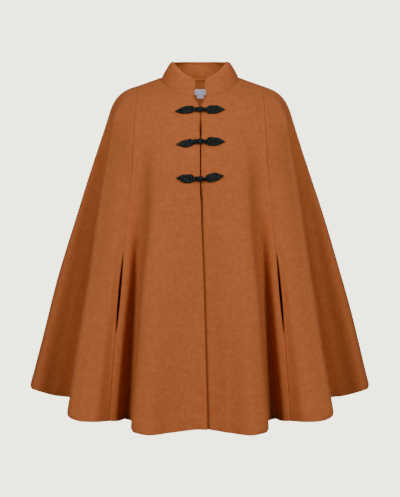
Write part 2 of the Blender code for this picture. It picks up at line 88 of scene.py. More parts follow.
def add_node(tree, kind, settings=None, links=None):
    """Adds a node, sets its properties and inputs, and links sockets to its inputs."""
    node = tree.nodes.new(kind)
    for name, value in (settings or {}).items():
        if isinstance(name, int) or name in node.inputs:
            node.inputs[name].default_value = value
        else:
            setattr(node, name, value)
    for name, socket in (links or {}).items():
        tree.links.new(socket, node.inputs[name])
    return node


def new_material(name):
    """A material, its node tree and its shader."""
    made = bpy.data.materials.new(name)
    made.use_nodes = True
    return made, made.node_tree, made.node_tree.nodes["Principled BSDF"]


def set_sockets(shader, values):
    """Fixed values, each on the shader's own socket."""
    for name, value in values.items():
        shader.inputs[name].default_value = value


def set_stops(ramp, *stops):
    """Where a colour ramp's stops are and which colours they have."""
    for element, (position, hex_colour) in zip(ramp.color_ramp.elements, stops):
        element.position = position
        element.color = linear(hex_colour)


print("white is", linear("#ffffff")[:3])

# %% [markdown]
# The cape stands before seamless paper with an even pale tone. Strong lamps on the paper
# would also light the cape from behind, so the paper glows by itself: rays from the camera
# see it bright, and all other rays see it dim and a little cooler, as a room's light is.

# %% Floor and world
BACKDROP, AMBIENT = "#eaead2", "#c4d6ff"
SEEN, LIT, FLOOR_LIT = 4.7, 0.22, 0.03
FLOOR_Z, FLOOR_HALF = -1.42, 60.0


def paper_glow(tree, colour_input, strength_input, lit):
    """The backdrop's glow: bright to the camera, a dim and cooler light to all else."""
    ray = add_node(tree, "ShaderNodeLightPath").outputs["Is Camera Ray"]
    strength = add_node(tree, "ShaderNodeMath",
                        {"operation": "MULTIPLY_ADD", 1: SEEN - lit, 2: lit}, {0: ray})
    colour = add_node(tree, "ShaderNodeMix",
                      {"data_type": "RGBA", 6: linear(AMBIENT), 7: linear(BACKDROP)}, {0: ray})
    tree.links.new(strength.outputs[0], strength_input)
    tree.links.new(colour.outputs[2], colour_input)


world = bpy.data.worlds.new("studio")
world.use_nodes = True
bpy.context.scene.world = world
background = world.node_tree.nodes["Background"]
paper_glow(world.node_tree, background.inputs["Color"], background.inputs["Strength"], LIT)

floor_mesh = bmesh.new()
bmesh.ops.create_grid(floor_mesh, x_segments=1, y_segments=1, size=FLOOR_HALF)
bmesh.ops.translate(floor_mesh, verts=floor_mesh.verts, vec=(0, 0, FLOOR_Z))
floor_data = bpy.data.meshes.new("studio_floor")
floor_mesh.to_mesh(floor_data)
floor_mesh.free()
floor = bpy.data.objects.new("studio_floor", floor_data)
bpy.context.scene.collection.objects.link(floor)

# Seamless paper, rolled and matt: its own even glow hides the join with the world behind it
paper, tree, shader = new_material("seamless_paper")
set_sockets(shader, {"Base Color": linear("#000000"), "Roughness": 1.0, "Specular IOR Level": 0.0})
paper_glow(tree, shader.inputs["Emission Color"], shader.inputs["Emission Strength"], FLOOR_LIT)
floor_data.materials.append(paper)
print("floor at", FLOOR_Z)


# %% [markdown]
# Two large soft boxes stand at equal angles beside the camera, so both flanks of each fold
# get light and only its deep side stays dark. A weak fill lifts the front, and one behind
# keeps the back readable. The inside of the neck gets nothing from them, so a narrow spot
# comes in over the collar's front and reaches only the label and the collar's inside.

# %% Soft boxes
def lamp(name, kind, place, aim, power, **settings):
    """A light of any kind, pointed at a place."""
    data = bpy.data.lights.new(name, kind)
    data.energy = power
    for setting, value in settings.items():
        setattr(data, setting, value)
    made = bpy.data.objects.new(name, data)
    bpy.context.scene.collection.objects.link(made)
    made.location = place
    made.rotation_euler = (Vector(aim) - Vector(place)).to_track_quat("-Z", "Y").to_euler()


lamp("left_box", "AREA", (-2.3, -2.85, 0.8), (0, 0, -0.35), 73, shape="SQUARE", size=1.5)
lamp("right_box", "AREA", (2.3, -2.85, 0.8), (0, 0, -0.35), 73, shape="SQUARE", size=1.5)
lamp("front_fill", "AREA", (0.0, -3.4, 0.9), (0, 0, -0.2), 7, shape="SQUARE", size=1.2)
lamp("back_fill", "AREA", (0.0, 3.4, 0.9), (0, 0, -0.35), 42, shape="SQUARE", size=2.2)
lamp("neck_spot", "SPOT", (0.0, -1.0, 0.75), (0, 0.055, -0.004), 54,
     spot_size=math.radians(5.9), spot_blend=0.8, shadow_soft_size=0.03)

# %% [markdown]
# ## The cloth's form
# The cape hangs in columns. Each column runs down the neck slope, turns over the shoulder
# and falls to the hem, and the folds are places along the hem that stand out or draw in. A
# short table of folds is enough, because a smooth curve through them fills in the rest.
# These are the sizes that the solids were made from, so the finer cloth lies on its solid.

# %% Table of folds
# Shoulder angle in degrees, then in mm the place at the hem, the column's bow, and how far
# along the hem the fold's soft root at the shoulder is averaged
FOLDS = (
    ("centre_front", 0, 0, -160, -789, 0, 40),
    ("first_flank", 13, 66, -178, -792, 0, 44),
    ("first_crest", 24, 118, -202, -791.5, 0, 50),
    ("first_edge", 30, 151, -180, -788, 0, 56),
    ("first_under", 33, 144, -134, -784, 0, 58),
    ("first_trough", 38, 174, -66, -786, 0, 60),
    ("slit_lip", 43, 191, -116, -779.5, 2, 46),
    ("front_seam", 47, 205, -121, -778.5, 2, 36),
    ("second_crest", 56, 238, -150, -774, -2, 30),
    ("second_flank", 66, 272, -146, -773, -3, 24),
    ("second_edge", 78, 300, -124, -767.5, -2, 16),
    ("second_under", 82, 295, -62, -760.5, -4, 16),
    ("second_trough", 87, 306, 34, -758, -16, 20),
    ("side_flank", 89.5, 350, 24, -749.5, -4, 20),
    ("side_crest", 92.5, 392.5, 10, -734, 8, 22),
    ("side_edge", 96, 409, 44, -736, 10.5, 30),
    ("side_back", 107, 397, 112, -740, 9, 40),
    ("back_trough", 118, 332, 130, -752, 0, 46),
    ("back_crest", 130, 272, 222, -773, 4, 46),
    ("back_seam", 137, 228, 196, -779, 0, 44),
    ("inner_trough", 145, 184, 168, -783, 0, 48),
    ("inner_crest", 160, 104, 250, -791, 2, 50),
    ("centre_back", 180, 0, 222, -791, 0, 50),
)
fold_sizes = np.array([row[1:] for row in FOLDS])
steps = np.hypot(*np.diff(fold_sizes[:, 1:3], axis=0).T) * MM
reach = np.concatenate([[0.0], np.cumsum(steps)])
END_U = reach[-1]
mirrored = np.array([-1, -1, 1, 1, 1, 1])
first, last = fold_sizes[1] * mirrored, fold_sizes[-2] * mirrored + [360, 0, 0, 0, 0, 0]
fold_rows = np.vstack([first, fold_sizes, last])
fold_knots = np.concatenate([[-reach[1]], reach, [2 * END_U - reach[-2]]])
FOLD_U = {row[0]: u for row, u in zip(FOLDS, reach)}
print("fold places", {name: round(float(u / END_U), 3) for name, u in FOLD_U.items()})
print("hem sweep", round(2 * END_U, 3), "m in", len(FOLDS), "rows a side")


# %% [markdown]
# Straight lines between the folds would leave corners in the cloth. A cubic curve with a
# tangent from both neighbours passes through every row and stays soft. At the shoulder, the
# cloth follows two ovals, one round the neck and one where it turns down.

# %% Smooth curve through the table
# Sizes of the ovals in mm: across, ahead, behind, and their heights at side, front and back
NECK = dict(half_width=89, front=78, back=72, side_z=3, front_z=-46, back_z=3, power=1.25)
SHOULDER = dict(half_width=200, front=135, back=128,
                side_z=-36, front_z=-165, back_z=-150, power=1.5)


def spline(at):
    """Each column of the fold table at distances along the hem, by cubic curves."""
    at = np.asarray(at, float)
    i = np.clip(np.searchsorted(fold_knots, at, side="right") - 1, 1, len(fold_knots) - 3)

    def slope(j):
        gap_before = (fold_knots[j] - fold_knots[j - 1])[:, None]
        gap_after = (fold_knots[j + 1] - fold_knots[j])[:, None]
        before = (fold_rows[j] - fold_rows[j - 1]) / gap_before
        after = (fold_rows[j + 1] - fold_rows[j]) / gap_after
        share = gap_before / (gap_before + gap_after)
        return before * (1 - share) + after * share

    span = (fold_knots[i + 1] - fold_knots[i])[:, None]
    t = (at - fold_knots[i])[:, None] / span
    return (fold_rows[i] * (2 * t**3 - 3 * t**2 + 1) + slope(i) * span * (t**3 - 2 * t**2 + t)
            + fold_rows[i + 1] * (3 * t**2 - 2 * t**3) + slope(i + 1) * span * (t**3 - t**2))


def ring(degrees, half_width, front, back, side_z, front_z, back_z, power):
    """Points of an oval round the body, 0 degrees at centre front."""
    angle = np.radians(degrees)
    ahead = np.cos(angle)
    depth, low = np.where(ahead > 0, front, back), np.where(ahead > 0, front_z, back_z)
    z = side_z + (low - side_z) * np.abs(ahead) ** power
    return np.stack([half_width * np.sin(angle), -depth * ahead, z], axis=-1) * MM


print("neck is", round(float(2 * ring(90.0, **NECK)[0]), 3), "m wide")


# %% [markdown]
# A fold is crisp at the hem and fades out on the shoulder, where the cloth lies smooth. One
# place on the cloth is named by u, the distance along the hem, and v, from 0 at the neck over
# 1 and 2 at both ends of the shoulder's turn to 3 at the hem. Averaging each place with its
# neighbours along the hem, most at the shoulder's turn, softens the folds at their roots.

# %% The whole sheet
TURN_AT_SIDE, TURN_AT_MIDDLE = 44, 105
ROOT_BEGINS, ROOT_FULL, ROOT_ENDS = 1.0, (1.7, 2.0), 2.6
ROOT_WEIGHTS = ((-1.0, 0.13), (-0.5, 0.23), (0.0, 0.28), (0.5, 0.23), (1.0, 0.13))


def folded(u):
    """Distances along the hem, turned back into the modelled half at both middles."""
    return np.where(u < 0, -u, np.where(u > END_U, 2 * END_U - u, u))


def crisp_surface(u, v):
    """The cloth with every fold as crisp at the shoulder as at the hem, for flat lists."""
    v = v[:, None]
    side = np.where((u < 0) | (u > END_U), -1.0, 1.0)
    table = spline(folded(u))
    neck, knee = ring(table[:, 0], **NECK), ring(table[:, 0], **SHOULDER)
    hem = table[:, 1:4] * MM
    to_middle = np.abs(np.cos(np.radians(table[:, 0:1])))
    turn = (TURN_AT_SIDE + (TURN_AT_MIDDLE - TURN_AT_SIDE) * to_middle) * MM
    up, down = neck - knee, hem - knee
    up_length = np.linalg.norm(up, axis=1, keepdims=True)
    start = knee + up * np.minimum(turn / up_length, 0.8)
    end = knee + down * (turn / np.linalg.norm(down, axis=1, keepdims=True))
    t = np.clip(v - 1, 0, 1)
    bend = start * (1 - t) ** 2 + knee * (2 * t * (1 - t)) + end * t**2
    fall = np.clip(v - 2, 0, 1)
    out = hem * [1, 1, 0]
    out = out / np.linalg.norm(out, axis=1, keepdims=True)
    hang = end + (hem - end) * fall + out * (table[:, 4:5] * MM * 4 * fall * (1 - fall))
    slope = neck + (start - neck) * np.clip(v, 0, 1)
    points = np.where(v <= 1, slope, np.where(v <= 2, bend, hang))
    points[:, 0] *= side
    return points


def eased(share):
    """A share that starts and ends softly."""
    share = np.clip(share, 0, 1)
    return share * share * (3 - 2 * share)


def surface(u, v):
    """Outer face of the cloth: u along the hem, v down a column from 0 to 3."""
    u, v = np.broadcast_arrays(np.asarray(u, float), np.asarray(v, float))
    shape, u, v = u.shape, u.ravel(), v.ravel()
    begun = eased((v - ROOT_BEGINS) / (ROOT_FULL[0] - ROOT_BEGINS))
    soft = begun * eased((ROOT_ENDS - v) / (ROOT_ENDS - ROOT_FULL[1]))
    points = np.zeros((len(u), 3))
    points[soft == 0] = crisp_surface(u[soft == 0], v[soft == 0])
    u, v, soft, mild = u[soft > 0], v[soft > 0], soft[soft > 0], soft > 0
    if len(u):
        spread = spline(folded(u))[:, 5] * MM * soft
        points[mild] = sum(weight * crisp_surface(u + spread * step, v)
                           for step, weight in ROOT_WEIGHTS)
    return points.reshape(*shape, 3)


def across(u, v):
    """Unit direction along the hem, within the cloth."""
    step = surface(u + 0.5 * MM, v) - surface(u - 0.5 * MM, v)
    return step / np.linalg.norm(step, axis=-1, keepdims=True)


def outward(u, v):
    """Unit normals of the sheet."""
    down = surface(u, np.minimum(v + 0.004, 3.0)) - surface(u, np.maximum(v - 0.004, 0.0))
    normal = np.cross(down, across(u, v))
    return normal / np.linalg.norm(normal, axis=-1, keepdims=True)


print("centre front hem", surface(0.0, 3.0).round(3))
print("side hem", surface(FOLD_U["side_crest"], 3.0).round(3))

# %% [markdown]
# ## Where the panels are cut
# A seam passes over each shoulder 143 mm from the middle. At the front it runs on down to
# the hem, and part of it is left open as the arm slit. The fronts and the back meet in a
# short seam along the shoulder ridge. Searching along each column gives the crossing.

# %% Seam lines
# At the front seam the edges overlap by less than half a millimetre, so no light leaks in
FRONT_U, BACK_U = FOLD_U["front_seam"], FOLD_U["back_seam"]
SEAM_TOP = 143 * MM
SLIT_TOP, SLIT_BOTTOM, SLIT_WIDTH = 2.345, 2.665, 6.2 * MM
SEAM_OVERLAP = 0.4 * MM


def search(function, low, high):
    """Where rising functions cross zero, all at once."""
    low, high = np.array(low, float), np.array(high, float)
    for _ in range(36):
        middle = (low + high) / 2
        over = function(middle) > 0
        low, high = np.where(over, low, middle), np.where(over, middle, high)
    return (low + high) / 2


RIDGE_U = float(search(lambda u: spline(u)[:, 0] - 90, [FRONT_U], [BACK_U])[0])


def seam_v(u):
    """How far down each column the panel seam crosses it."""
    edge = np.where(u < RIDGE_U, FRONT_U, BACK_U)
    share = (u - RIDGE_U) / (edge - RIDGE_U)
    target = SEAM_TOP + (surface(edge, 2.0)[..., 0] - SEAM_TOP) * share**3
    found = search(lambda v: surface(u, v)[..., 0] - target,
                   np.zeros_like(u), np.full_like(u, 2.0))
    return np.where(share > 0.99999, 2.0, found)


def slit_half_width(v):
    """Half of the slit's opening, a slim leaf shape down the seam."""
    inside = np.clip((v - SLIT_TOP) / (SLIT_BOTTOM - SLIT_TOP), 0, 1)
    return SLIT_WIDTH / 2 * np.sin(np.pi * inside) ** 0.6


RIDGE_V = float(seam_v(np.array([RIDGE_U]))[0])
print("the seam crosses the ridge at", surface(RIDGE_U, RIDGE_V).round(3))

# %% [markdown]
# ## Creases placed one by one
# Wool melton is thick and soft, so besides the big folds it only shows broad shallow
# strokes: a sag beside each fold's root, a lip along a fold's edge and a ripple near the hem.
# Cloth simulation could settle such creases but not put them where they are wanted. So each
# stroke is a line on the cloth with a width and a depth, faded at both ends.

# %% Table of creases
# Each row: a name, side, the fold it lies by, then its start and its end (mm along the hem
# from that fold, and how far down the column), its width and its height in mm. A negative
# height is a trough. Side 1 is the wearer's left, -1 the right and 0 both.
CREASES = (
    ("second_edge_lip", 0, "second_edge", -10, 1.2, -6, 3.5, 11, 3.2),
    ("second_edge_hollow", 0, "second_under", -16, 1.25, 6, 3.5, 14, -3.4),
    ("first_edge_lip", 0, "first_edge", -6, 1.9, -4, 3.5, 12, 2.0),
    ("slit_lip", 0, "front_seam", -12, 2.15, -10, 3.5, 7, 1.8),
    ("chest_hollow_left", 1, "first_crest", -12, 1.75, 14, 2.6, 24, -1.7),
    ("chest_hollow_right", -1, "first_crest", -20, 1.85, 4, 2.5, 27, -1.5),
    ("chest_ridge_left", 1, "first_flank", -4, 2.0, 2, 2.8, 20, 1.4),
    ("chest_ridge_right", -1, "first_flank", 10, 2.05, -6, 2.7, 18, 1.3),
    ("front_ripple_left", 1, "first_flank", -28, 2.45, -34, 3.2, 15, -1.5),
    ("front_ripple_right", -1, "first_crest", -16, 2.4, -10, 3.2, 16, -1.6),
    ("first_root_left", 1, "first_trough", 6, 1.6, -2, 2.3, 16, -2.0),
    ("first_root_right", -1, "first_trough", 2, 1.7, -6, 2.25, 18, -2.2),
    ("arm_sag_left", 1, "second_crest", 4, 1.3, 12, 2.1, 22, -1.6),
    ("arm_sag_right", -1, "second_crest", 12, 1.25, 4, 2.2, 24, -1.8),
    ("arm_ripple_left", 1, "second_crest", -4, 2.5, 4, 3.2, 14, -1.5),
    ("arm_ripple_right", -1, "second_flank", -14, 2.4, -8, 3.2, 15, -1.6),
    ("under_ripple_left", 1, "side_flank", -6, 1.9, -16, 3.3, 12, 2.2),
    ("under_ripple_right", -1, "side_flank", 4, 2.1, -10, 3.3, 14, 2.0),
    ("side_sag_left", 1, "side_back", -20, 1.8, -8, 2.7, 24, -2.4),
    ("side_sag_right", -1, "side_back", -6, 1.9, 10, 2.6, 22, -2.2),
    ("back_sag_left", 1, "back_crest", -40, 1.5, -22, 2.6, 26, -2.6),
    ("back_sag_right", -1, "back_crest", -30, 1.6, -26, 2.4, 24, -2.4),
    ("blade_hollow_left", 1, "inner_trough", 14, 1.3, 20, 2.3, 30, -2.2),
    ("blade_hollow_right", -1, "inner_trough", 22, 1.4, 12, 2.1, 28, -2.0),
    ("back_ripple_left", 1, "inner_crest", -24, 2.1, -30, 3.0, 22, -2.0),
    ("back_ripple_right", -1, "inner_crest", 20, 2.2, 26, 2.9, 20, -1.8),
)


def bell(offset, width):
    """1 at no offset, fading to 0 over about two widths."""
    return np.exp(-((offset / width) ** 2))


def line_gap(points, line):
    """How far points are from a line of straight stretches, and at which share of it."""
    start, step = line[:-1], np.diff(line, axis=0)
    from_start = points[..., None, :] - start
    squared = np.maximum((step**2).sum(axis=-1), 1e-12)
    along = np.clip((from_start * step).sum(axis=-1) / squared, 0, 1)
    gap = np.linalg.norm(from_start - step * along[..., None], axis=-1)
    near = gap.argmin(axis=-1)[..., None]
    share = (near + np.take_along_axis(along, near, axis=-1)) / len(step)
    return gap.min(axis=-1), share[..., 0]


def crease_depth(points, side):
    """How far the strokes of one side move each point along its normal, in metres."""
    depth = np.zeros(points.shape[:-1])
    for _, only, fold, shift0, v0, shift1, v1, width, high in CREASES:
        if only not in (0, side):
            continue
        t = np.linspace(0, 1, 25)
        line = surface(FOLD_U[fold] + (shift0 + (shift1 - shift0) * t) * MM,
                       np.minimum(v0 + (v1 - v0) * t, 3.0))
        gap, share = line_gap(points, line)
        fade = np.clip(np.sin(np.pi * share), 0, 1) ** 0.7
        depth += high * MM * fade * bell(gap, width * MM)
    return depth


def hand_unevenness(points):
    """Broad waves under 1 mm high, so that no stretch of cloth is perfectly regular."""
    x, y, z = (points[..., i] / MM for i in range(3))
    wave = 0.45 * np.sin(x / 37 + z / 61) + 0.35 * np.sin(z / 43 - x / 71 + y / 55)
    return (wave + 0.3 * np.sin((x + y) / 23 + z / 97)) * MM


print(len(CREASES), "creases")


# %% [markdown]
# ## Making a panel
# A panel starts as a flat grid. Each of its points is then carried to its place on the
# sheet, first along the cloth and then out or in for seams and creases. The wall is given
# afterwards with a Solidify modifier, inwards, and a small Bevel rounds its cut edges. So
# one face has to be shaped, not two, and the wall is even everywhere.

# %% Panel helper
WALL = 2.2 * MM


def to_object(name, bm):
    """A smooth-shaded object from a bmesh."""
    mesh = bpy.data.meshes.new(name)
    bm.to_mesh(mesh)
    bm.free()
    for polygon in mesh.polygons:
        polygon.use_smooth = True
    made = bpy.data.objects.new(name, mesh)
    bpy.context.scene.collection.objects.link(made)
    return made


def grid_piece(name, places):
    """A grid whose corner points go to the given places, an array of rows of points."""
    rows, columns = places.shape[:2]
    bm = bmesh.new()
    bmesh.ops.create_grid(bm, x_segments=columns - 1, y_segments=rows - 1, size=1.0)
    for vert in bm.verts:
        i = round((vert.co.x + 1) / 2 * (columns - 1))
        k = round((vert.co.y + 1) / 2 * (rows - 1))
        vert.co = places[k, i]
    bmesh.ops.recalc_face_normals(bm, faces=bm.faces)
    return to_object(name, bm)


def face_outwards(piece, probe, direction):
    """Turns a sheet's faces round where the one nearest the probe looks the wrong way."""
    nearest = min(piece.data.polygons, key=lambda p: (p.center - Vector(probe)).length)
    if nearest.normal.dot(Vector(direction)) < 0:
        piece.data.flip_normals()


def give_wall(piece, wall, edge):
    """Thickness inwards and softly rounded cut edges."""
    solidify = piece.modifiers.new("wall", "SOLIDIFY")
    solidify.thickness = wall
    solidify.offset = -1.0
    solidify.use_even_offset = False
    bevel = piece.modifiers.new("soft_edge", "BEVEL")
    bevel.width = edge
    bevel.segments = 2
    bevel.profile = 0.5
    bevel.limit_method = "ANGLE"
    bevel.angle_limit = math.radians(55)


def packed_ends(count):
    """Shares from 0 to 1, four times as close at both ends, where the seams are pressed."""
    even = np.linspace(0, 1, count)
    return even - 0.75 * np.sin(2 * np.pi * even) / (2 * np.pi)


print("wall", WALL / MM, "mm")


# %% [markdown]
# A plain pressed seam is a shallow valley: the two layers turn in at the stitches, and the
# allowance under the cloth lifts a soft ridge beside it. The hem is turned up and lightly
# pressed, which shows as a faint step 32 mm above the edge.

# %% Seam and hem relief
SEAM_DEPTH, SEAM_WIDTH = 1.5 * MM, 1.7 * MM
ALLOWANCE_LIFT, ALLOWANCE_WIDTH, ALLOWANCE_OUT = 0.4 * MM, 4 * MM, 6 * MM


def seam_relief(gap):
    """Height over the cloth at a distance from a seam: a valley, then the allowance."""
    beside = ALLOWANCE_LIFT * bell(gap - ALLOWANCE_OUT, ALLOWANCE_WIDTH)
    return beside - SEAM_DEPTH * bell(gap, SEAM_WIDTH)


def polyline_gap(points, line):
    """Distance of each point to the nearest of a line's many points."""
    gap = np.full(points.shape[:-1], 1.0)
    for chunk in np.array_split(line, max(1, len(line) // 24)):
        gap = np.minimum(gap, np.linalg.norm(points[..., None, :] - chunk, axis=-1).min(axis=-1))
    return gap


def line_on_sheet(u, v, spacing=1.8 * MM):
    """Closely and evenly spaced points of a line on the sheet."""
    t = np.linspace(0, 1, 400)
    rough = surface(np.interp(t, np.linspace(0, 1, len(u)), u),
                    np.interp(t, np.linspace(0, 1, len(v)), v))
    run = np.concatenate([[0], np.cumsum(np.linalg.norm(np.diff(rough, axis=0), axis=1))])
    at = np.linspace(0, run[-1], int(run[-1] / spacing))
    return np.stack([np.interp(at, run, rough[:, i]) for i in range(3)], axis=1)


def seam_over_shoulder(edge_u):
    """A panel seam from the shoulder ridge to where it starts to fall, as lists of u and v."""
    u = RIDGE_U + (edge_u - RIDGE_U) * np.linspace(0, 1, 90) ** 2
    return u, seam_v(u)


FRONT_SEAM, BACK_SEAM = seam_over_shoulder(FRONT_U), seam_over_shoulder(BACK_U)
SEAM_LINES = {
    "front": np.vstack([line_on_sheet(*FRONT_SEAM), line_on_sheet([FRONT_U] * 2, [2.0, 3.0])]),
    "back": np.vstack([line_on_sheet(*BACK_SEAM), line_on_sheet([BACK_U] * 2, [2.0, 3.0])]),
    "ridge": line_on_sheet([RIDGE_U] * 2, [0.0, RIDGE_V]),
    "neck": line_on_sheet([0.01, END_U], [0.0, 0.0]),
}
print("seam lines", {name: len(line) for name, line in SEAM_LINES.items()})


# %% [markdown]
# Every panel is carried to its place in the same way, so the seams of two neighbours match.
# The steps are: lie on the sheet, slide within it, and rise or sink along the normal for
# creases, seams, the top stitching beside the front seam, the hem and its curled corners.
# Real stitches are hidden in the nap, so a shallow groove stands for the top stitching.

# %% Carrying a grid to its place
HEM_TURN, HEM_STEP, STEP_SOFTNESS = 32 * MM, 0.5 * MM, 2.2 * MM
STITCH_INSET, STITCH_DEPTH, STITCH_WIDTH = 8 * MM, 0.6 * MM, 1.3 * MM
# Creases fade out this close to a seam, and seams are pressed flatter where they cross
CROSSING_CALM = 24 * MM
SEAM_CALM = {"neck": 25 * MM, "front": 26 * MM, "back": 26 * MM, "ridge": 26 * MM}
# Where a fold ends at the hem, the heavy turned-up edge curls in by so many mm
HEM_CURLS = (("first_edge", 2.6), ("second_edge", 3.0), ("side_edge", 4.2))
CURL_ALONG, CURL_UP = 26 * MM, 11 * MM


def dress(u, v, side, seams, nudge=None, sink=None, stitched=False):
    """Points of a panel: on the sheet, nudged within it, and shaped by seams and creases."""
    points = surface(u, v)
    normals = outward(u, v)
    high = crease_depth(points, side) + hand_unevenness(points * [side, 1, 1])
    gaps = {name: polyline_gap(points, line) for name, line in SEAM_LINES.items()}
    calm = np.clip(gaps["neck"] / SEAM_CALM["neck"], 0, 1)
    for name in ("front", "back", "ridge"):
        calm = np.minimum(calm, eased(gaps[name] / SEAM_CALM[name]))
    high = high * calm
    from_crossing = np.linalg.norm(points - surface(RIDGE_U, RIDGE_V), axis=-1)
    pressed = 0.3 + 0.7 * eased(from_crossing / CROSSING_CALM)
    for name in seams:
        high = high + pressed * seam_relief(gaps[name])
    if stitched:
        high = high - STITCH_DEPTH * bell(gaps["front"] - STITCH_INSET, STITCH_WIDTH)
    to_hem = np.linalg.norm(points - surface(u, np.full_like(v, 3.0)), axis=-1)
    high = high + HEM_STEP / (1 + np.exp((to_hem - HEM_TURN) / STEP_SOFTNESS))
    for fold, curl in HEM_CURLS:
        at_fold = bell(u - FOLD_U[fold], CURL_ALONG)
        high = high - curl * MM * at_fold * np.clip(1 - to_hem / CURL_UP, 0, 1) ** 2
    if nudge is not None:
        points = points + nudge
    if sink is not None:
        high = high - sink(u, points)
    points = points + normals * high[..., None]
    return points * [side, 1, 1]


print("hem turned up", HEM_TURN / MM, "mm")

# %% [markdown]
# ## The two fronts
# The free edges part at the neck, meet down the chest, and below the third fastener the
# wearer's right front drifts over the left one, which slips behind it. Rows of the grid run
# from the free edge to the shoulder or side seam, so the seam's curve is an edge of the grid.

# %% Row positions
# Rows are closest where the seam leaves the ridge and at the hem, where the cloth bends most
SLOPE_ROWS, TURN_ROWS, FALL_ROWS = 16, 44, 82
slope_v = np.linspace(0, RIDGE_V, SLOPE_ROWS)
turn_v = RIDGE_V + (2.0 - RIDGE_V) * np.linspace(0, 1, TURN_ROWS) ** 1.7
fall_v = 3 - np.linspace(1, 0, FALL_ROWS) ** 1.35
FRONT_ROWS = np.concatenate([slope_v[:-1], turn_v, fall_v[1:]])


def outer_u(v, seam):
    """Where a row ends: on the ridge seam above, then on the panel seam."""
    u_line, v_line = seam
    order = np.argsort(v_line)
    found = np.interp(v, v_line[order], u_line[order])
    return np.where(v >= 2, u_line[-1], np.where(v <= RIDGE_V, RIDGE_U, found))


print(len(FRONT_ROWS), "rows")

# %% [markdown]
# The free edges are two folded strips of cloth with nothing between the frogs to hold them,
# so they gape most just below the first frog. Lower down the lapping edge lies on the other
# front, which sinks under it, and a shadow line shows where it ends. Both edges are given
# as a distance from the middle by height, so each can be changed without the other.

# %% Free edge and lap
NECK_END_Z, GAPE_Z, LAP_START_Z, HEM_Z = -68 * MM, -120 * MM, -262 * MM, -789 * MM
EDGE_GAP, NECK_GAP, GAPE = 1.35 * MM, 12.25 * MM, 1.2 * MM
LAP_DRIFT, UNDER_DRIFT, ASIDE = 16 * MM, 2.4 * MM, 1.3 * MM
LAP_DEPTH, LAP_GROOVE, GROOVE_WIDTH = 4.4 * MM, 3.6 * MM, 6 * MM
LAP_STAND, ROLL_DEPTH, ROLL_WIDTH = 1.6 * MM, 2.0 * MM, 3.2 * MM


def free_edge_x(z, laps):
    """How far a front's free edge is from the middle at a height, towards its own side."""
    open_share = np.clip((z - NECK_END_Z) / (22 * MM), 0, 1)
    opened = EDGE_GAP + NECK_GAP * open_share + GAPE * bell(z - GAPE_Z, 18 * MM)
    drift = np.clip((LAP_START_Z - z) / (LAP_START_Z - HEM_Z), 0, 1) ** 0.7
    aside = ASIDE * eased((-60 * MM - z) / (25 * MM)) * eased((z + 340 * MM) / (75 * MM))
    if laps:
        return opened - aside - (LAP_DRIFT + EDGE_GAP) * drift
    return opened + aside - UNDER_DRIFT * drift


def free_edge_u(v, laps):
    """The same edge as places along the hem."""
    target = free_edge_x(surface(np.zeros_like(v), v)[..., 2], laps)
    return search(lambda u: surface(u, v)[..., 0] - target,
                  np.full_like(v, -0.1), np.full_like(v, 0.1))


def lap_sink(u, points):
    """The front below gives way under the lap, most along the lapping edge."""
    fall = np.clip((-240 * MM - points[..., 2]) / (22 * MM), 0, 1)
    near = eased(1 - (u - LAP_DRIFT) / (50 * MM))
    beside = np.clip(points[..., 0] + free_edge_x(points[..., 2], True), 0, None)
    return fall * (LAP_DEPTH * near + LAP_GROOVE * bell(beside, GROOVE_WIDTH))


def lap_lift(u, points):
    """The lapping edge stands a little off the front below it."""
    fall = np.clip((-250 * MM - points[..., 2]) / (40 * MM), 0, 1)
    near = np.clip(1 - (u + LAP_DRIFT) / (30 * MM), 0, 1)
    return -LAP_STAND * fall * near**2


def edge_roll(points, laps):
    """Both free edges are turned under, so they curl in over their last few millimetres."""
    return ROLL_DEPTH * bell(points[..., 0] - free_edge_x(points[..., 2], laps), ROLL_WIDTH)


print("edge drift at the hem", round(float(free_edge_x(HEM_Z, True)) / MM, 1), "mm")


# %% [markdown]
# Both fronts are one function with two choices, the side and whether the edge laps. Their
# columns are packed at the edge and the seam, where the cloth bends in a few millimetres.
# The slit is made by drawing the panel's edge back from the seam, and the pull fades out
# over 34 mm of cloth.

# %% Fronts
FRONT_COLUMNS, SLIT_PULL = 92, 34 * MM


def front_panel(name, side, laps):
    """One front, from its free edge to the shoulder seam and the side seam."""
    share = packed_ends(FRONT_COLUMNS)
    start = free_edge_u(FRONT_ROWS, laps)[:, None]
    end = outer_u(FRONT_ROWS, FRONT_SEAM)[:, None]
    u = start + (end - start) * share
    v = np.broadcast_to(FRONT_ROWS[:, None], u.shape)
    pulled = np.clip(1 - (end - u) / SLIT_PULL, 0, 1) ** 2
    shift = slit_half_width(v) * pulled - SEAM_OVERLAP * (share == 1)
    lap = lap_lift if laps else lap_sink
    places = dress(u, v, side, ("front", "ridge", "neck"),
                   nudge=-across(u, v) * shift[..., None],
                   sink=lambda u, points: lap(u, points) + edge_roll(points, laps))
    piece = grid_piece(name, places)
    face_outwards(piece, (side * 0.06, -0.15, -0.3), (0, -1, 0))
    return piece


right_front = front_panel("wool_right_front", -1, True)
left_front = front_panel("wool_left_front", 1, False)
print("fronts", len(right_front.data.polygons), "faces each")


# %% [markdown]
# ## Side panels and back
# A side panel is a gore, a wedge of cloth with its point on the shoulder. Its grid's first
# row is the seam that passes over the shoulder, and its last is the hem, so all the flare is
# in the columns, which spread downwards as the real wedge does.

# %% Sides
SIDE_COLUMNS, SIDE_ROWS = 180, 124


